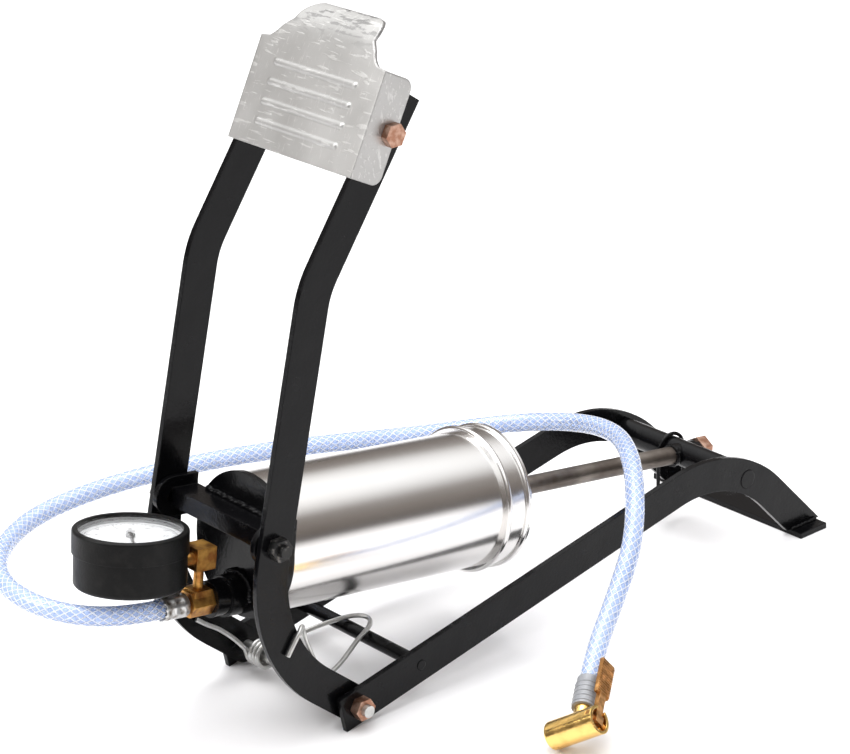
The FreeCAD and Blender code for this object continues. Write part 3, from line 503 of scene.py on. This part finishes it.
bpy.context.scene.collection.objects.link(laid_line)
route = [vertex.co.copy() for vertex in bpy.data.meshes.new_from_object(
    laid_line.evaluated_get(bpy.context.evaluated_depsgraph_get())).vertices]
bpy.data.objects.remove(laid_line)


def tube_along(points, radius, sides):
    """A capped tube whose UV map is turns round it and metres along it."""
    across = Vector((0, 1, 0))
    verts, faces, run, runs_at = [], [], 0.0, []
    for k, point in enumerate(points):
        ahead = (points[min(k + 1, len(points) - 1)] - points[max(k - 1, 0)]).normalized()
        across = (across - ahead * across.dot(ahead)).normalized()
        other = ahead.cross(across)
        if k:
            run += (point - points[k - 1]).length
        runs_at.append(run)
        for j in range(sides):
            turn = j / sides * math.tau
            verts.append(point + (across * math.cos(turn) + other * math.sin(turn)) * radius)
    for k in range(len(points) - 1):
        for j in range(sides):
            a, b = k * sides + j, k * sides + (j + 1) % sides
            faces.append((a, b, b + sides, a + sides))
    last = (len(points) - 1) * sides
    faces.append(tuple(range(sides - 1, -1, -1)))
    faces.append(tuple(range(last, last + sides)))
    mesh = bpy.data.meshes.new("tube")
    mesh.from_pydata(verts, [], faces)
    layer = mesh.uv_layers.new(name="UVMap")
    for face in mesh.polygons[:-2]:
        for corner, (j, k) in zip(face.loop_indices, ((0, 0), (1, 0), (1, 1), (0, 1))):
            around = face.index % sides + j
            layer.data[corner].uv = (around / sides, runs_at[face.index // sides + k])
    return mesh, run


hose_radius = 0.00475
threads_round, braid_pitch = 9.0, 0.0046
hose_mesh, hose_run = tube_along(route, hose_radius, 24)
pvc = Finish("braided_pvc", Transmission_Weight=0.45, IOR=1.38, Coat_Weight=0.6,
             Coat_Roughness=0.06)
uv = pvc.node("ShaderNodeUVMap", {"uv_map": "UVMap"}, {})
round_hose = pvc.node("ShaderNodeSeparateXYZ", {}, [uv], "X")
along_hose = pvc.node("ShaderNodeSeparateXYZ", {}, [uv], "Y")


def thread(direction):
    """Threads that all wind one way: 1 on a thread and 0 between two."""
    spot = round_hose * threads_round + along_hose * (direction / braid_pitch)
    wave = spot.maths("FRACT", spot + 100.0) - 0.5
    return wave.maths("ABSOLUTE", wave).over(0.34, 0.08)


right_handed, left_handed = thread(1.0), thread(-1.0)
threads = right_handed.maths("MAXIMUM", right_handed, left_handed)
cloud = pvc.noise(60.0, 2.0)
pvc.surface(pvc.mix(threads, pvc.mix(cloud, (0.36, 0.50, 0.88, 1), (0.50, 0.64, 0.95, 1)),
                    (0.90, 0.93, 1.0, 1)), 0.16 + threads * 0.12, threads, 0.0003)
hose = fit_piece("hose_tube", hose_mesh, pvc, "barrel", ["hose"])

# ---- valve chuck --------------------------------------------------------------------
# Turned yellow brass with a square cam block in its open end, worked by a stamped lever
# with a ribbed thumb plate. A grey plastic sleeve grips the hose on a barbed inlet.
new_brass = Finish("yellow_brass", Metallic=1.0)
smudge = new_brass.noise(120.0, 4.0).over(0.45, 0.3)
new_brass.surface(new_brass.mix(smudge, (0.90, 0.60, 0.20, 1), (0.70, 0.42, 0.12, 1)),
                  0.16 + smudge * 0.2, new_brass.noise(700.0, 3.0), 0.00006, 0.0005)
coat_nodes(new_brass, "chuck_body")

lever_brass = Finish("stamped_lever_brass", Metallic=0.9)
rubbed = lever_brass.noise(220.0, 4.0).over(0.48, 0.2)
lever_brass.surface(lever_brass.mix(rubbed, (0.36, 0.17, 0.05, 1), (0.80, 0.44, 0.17, 1)),
                    0.3 + rubbed * 0.15, lever_brass.noise(800.0), 0.00008, 0.0003)
coat_nodes(lever_brass, "chuck_lever", "chuck_pin")

grey_sleeve = Finish("grey_clear_plastic", Transmission_Weight=0.35, IOR=1.48)
milky = grey_sleeve.noise(200.0, 3.0)
grey_sleeve.surface(grey_sleeve.mix(milky, (0.30, 0.31, 0.33, 1), (0.52, 0.53, 0.56, 1)),
                    0.25 + milky * 0.2, grey_sleeve.noise(600.0), 0.0001)
coat_nodes(grey_sleeve, "chuck_ferrule")

ring_sheet, ring = growth_tree("barb_rings", ["Count", "Pitch", "Radius", "Wire"])
start_points = ring_sheet.node("GeometryNodeMeshLine", {}, {
    "Count": ring["Count"],
    "Offset": ring_sheet.node("ShaderNodeCombineXYZ", {}, [0.0, 0.0, ring["Pitch"]])})
hoop = ring_sheet.node("GeometryNodeCurvePrimitiveCircle", {},
                       {"Resolution": 32, "Radius": ring["Radius"]}, "Curve")
hoop_section = ring_sheet.node("GeometryNodeCurvePrimitiveCircle", {},
                               {"Resolution": 8, "Radius": ring["Wire"]}, "Curve")
torus = ring_sheet.node("GeometryNodeCurveToMesh", {},
                        {"Curve": hoop, "Profile Curve": hoop_section})
hoops = ring_sheet.node("GeometryNodeInstanceOnPoints", {},
                        {"Points": start_points, "Instance": torus})
ring_tree = end_tree(ring_sheet, hoops, ring)
plug_length, first_ring = 0.0115, 0.0018
chuck_way = (Vector(hose_lead_in) - Vector(hose_end)).normalized()
sleeve_start = Vector(hose_end) / 1000 - chuck_way * plug_length
barbs = grow(ring_tree, line_mesh([(0, 0, 0)]), Material=grey_sleeve.material, Count=5,
             Pitch=0.0028, Radius=0.0054, Wire=0.0006)
barbs.transform(Matrix.Translation(sleeve_start + chuck_way * first_ring)
                @ chuck_way.to_track_quat("Z", "Y").to_matrix().to_4x4())
barb_rings = fit_piece("sleeve_barb_rings", barbs, grey_sleeve, "barrel")

# ---- lever arms and their bolts -----------------------------------------------------
# Two bent flat bars in the same enamel, on black-oxide bolts at the bracket and plated
# ones at the base and the pedal.
coat_nodes(enamel, "arm_near", "arm_far")

oxide = Finish("black_oxide", Metallic=0.6)
worn = oxide.noise(350.0, 3.0).over(0.56, 0.15)
oxide.surface(oxide.mix(worn, (0.018, 0.018, 0.018, 1), (0.16, 0.15, 0.14, 1)),
              0.32 + worn * 0.12, oxide.noise(900.0), 0.00008, 0.0004)
coat_nodes(oxide, "lever_bolts", "lever_nuts")
coat_nodes(copper_zinc, "pivot_nut", "pedal_bolts", "pedal_nuts")

# ---- pedal --------------------------------------------------------------------------
# Galvanised sheet, folded to a flange each side, with four pressed ribs and a lip rolled
# back at the top. The zinc is dull, scratched, and scuffed dark below the lip.
galvanised = Finish("galvanised_sheet", Metallic=0.85)
clouds = galvanised.noise(38.0, 4.0)
scratches = galvanised.noise(90.0, 3.0, (9.0, 0.9, 5.0)).over(0.60, 0.05)
cross = galvanised.noise(150.0, 3.0, (2.0, 12.0, 0.6)).over(0.64, 0.05)
high = galvanised.node("ShaderNodeSeparateXYZ", {}, [galvanised.place], "Z").over(0.318, 0.012)
scuffs = galvanised.noise(330.0, 5.0, (1.0, 0.35, 1.6)).over(0.53, 0.05) * high
grey = galvanised.mix(clouds, (0.36, 0.355, 0.345, 1), (0.50, 0.495, 0.485, 1))
grey = galvanised.mix(scuffs * 0.7, grey, (0.08, 0.08, 0.08, 1))
galvanised.surface(galvanised.mix((scratches + cross) * 0.3, grey, (0.80, 0.80, 0.78, 1)),
                   0.3 + clouds * 0.14, clouds * 0.6 + scratches * 0.2, 0.0003, 0.0012)
coat_nodes(galvanised, "pedal")

# ---- return spring ------------------------------------------------------------------
# One length of zinc-plated wire: a leg up the inside of the far arm, a coil on the
# spindle, a loop over the tie bar, the other coil, and a leg hooked over the near arm.
coil_radius, wire_radius, turns = 5.75, 1.2, 4
pivot = Vector(joints["lever_hinge"]["pos_m"]) * 1000


def coil(y_from, y_to, first, last):
    """A helix round the spindle from one angle to another, in 20 steps a turn."""
    count = int(abs(last - first) / 18)
    made = []
    for k in range(count + 1):
        angle = math.radians(first + (last - first) * k / count)
        made.append(pivot + Vector((coil_radius * math.cos(angle), y_from + (y_to - y_from) * k / count,
                                    coil_radius * math.sin(angle))))
    return made


def smooth(points, steps=8):
    """A Catmull-Rom line through the points."""
    points = [Vector(point) for point in points]
    made = []
    for k in range(len(points) - 1):
        p0, p1 = points[max(k - 1, 0)], points[k]
        p2, p3 = points[k + 1], points[min(k + 2, len(points) - 1)]
        for j in range(steps):
            t = j / steps
            made.append(0.5 * (2 * p1 + (p2 - p0) * t + (2 * p0 - 5 * p1 + 4 * p2 - p3) * t * t
                               + (3 * p1 - p0 - 3 * p2 + p3) * t ** 3))
    return made + [points[-1]]


far_leg = [(-339.5, 37.6, 36.5), (-334.0, 37.6, 32.0), (-326.5, 37.2, 26.5),
           (-319.5, 35.0, 19.5), (-315.2, 32.6, 13.5)]
loop = [(-307.0, 21.2, 16.3), (-296.0, 18.5, 18.6), (-281.0, 12.5, 22.4), (-268.5, 7.0, 24.2),
        (-264.2, 0.0, 24.6), (-268.5, -7.0, 24.2), (-281.0, -12.5, 22.4),
        (-296.0, -18.5, 18.6), (-307.0, -21.2, 16.3)]
near_leg = [(-315.2, -32.6, 13.5), (-319.0, -35.0, 20.5), (-325.0, -37.6, 33.0),
            (-330.5, -38.0, 47.0), (-333.3, -38.6, 56.0), (-336.0, -41.4, 60.6),
            (-340.2, -44.2, 59.6), (-344.0, -44.4, 55.0), (-347.5, -44.4, 50.3)]
wire = (smooth(far_leg) + coil(32.0, 22.0, 180, 180 + 360 * turns - 90)[1:]
        + smooth(loop)[1:] + coil(-22.0, -32.0, 90, 90 - 360 * turns - 270)[1:-1]
        + smooth(near_leg))
spring_mesh, _ = tube_along([point / 1000 for point in wire], wire_radius / 1000, 12)
fit_piece("spring_wire", spring_mesh, bright_zinc, "lever", ["return_spring"])

# ---- stage --------------------------------------------------------------------------
# A white paper floor under three soft lamps. The room is pale overhead and below, with a
# dark band between, which the bright barrel mirrors. The camera stands at the near side.
paper = Finish("white_paper")
paper.surface(paper.mix(paper.noise(3.0), (0.90, 0.89, 0.895, 1), (0.92, 0.915, 0.92, 1)), 0.6)
floor_mesh = bpy.data.meshes.new("floor")
floor_mesh.from_pydata([(-6, -6, 0), (6, -6, 0), (6, 6, 0), (-6, 6, 0)], [], [(0, 1, 2, 3)])
floor_mesh.materials.append(paper.material)
floor = bpy.data.objects.new("floor", floor_mesh)
bpy.context.scene.collection.objects.link(floor)

world = bpy.data.worlds.new("soft_room")
bpy.context.scene.world = world
world.use_nodes = True
room = NodeSheet(world.node_tree)
outward = room.node("ShaderNodeTexCoord", {}, {}, "Generated")
upward = room.node("ShaderNodeSeparateXYZ", {}, [outward], "Z")
walls = room.node("ShaderNodeValToRGB", {"stops": [
    (0.0, (0.9, 0.9, 0.9, 1)), (0.5, (0.9, 0.88, 0.88, 1)), (0.53, (0.10, 0.09, 0.085, 1)),
    (0.62, (0.22, 0.19, 0.17, 1)), (0.74, (0.34, 0.31, 0.29, 1)), (0.84, (1.5, 1.5, 1.5, 1)),
    (1.0, (2.0, 2.02, 2.06, 1))]},
    [upward * 0.5 + 0.5])
room.feed(world.node_tree.nodes["Background"].inputs["Color"], walls)
world.node_tree.nodes["Background"].inputs["Strength"].default_value = 0.95


def lamp(name, place, target, size, power):
    light = bpy.data.lights.new(name, "AREA")
    light.shape, light.size, light.energy = "SQUARE", size, power
    holder = bpy.data.objects.new(name, light)
    holder.location = place
    holder.rotation_euler = (Vector(target) - Vector(place)).to_track_quat("-Z", "Y").to_euler()
    bpy.context.scene.collection.objects.link(holder)
    return holder


lamp("overhead", (-0.2, 0.3, 1.5), (-0.2, 0.0, 0.1), 1.1, 16.0)
lamp("left_key", (-1.3, 0.5, 0.9), (-0.25, 0.0, 0.15), 0.6, 7.0)
lamp("near_fill", (0.1, -1.4, 0.7), (-0.2, 0.0, 0.1), 0.8, 4.0).visible_glossy = False

bpy.context.scene.view_settings.view_transform = "Standard"

camera = bpy.data.cameras.new("camera")
camera.sensor_width, camera.lens, camera.clip_end = 36.0, 122.75, 100.0
camera_place = (-1.0599, -0.9910, 0.6734)
camera_tilt, camera_roll, camera_turn = 67.629, 1.794, -40.963     # degrees
viewer = bpy.data.objects.new("camera", camera)
camera_way = Euler([math.radians(angle) for angle in (camera_tilt, camera_roll, camera_turn)])
viewer.matrix_world = Matrix.LocRotScale(camera_place, camera_way, None)
bpy.context.scene.collection.objects.link(viewer)
bpy.context.scene.camera = viewer
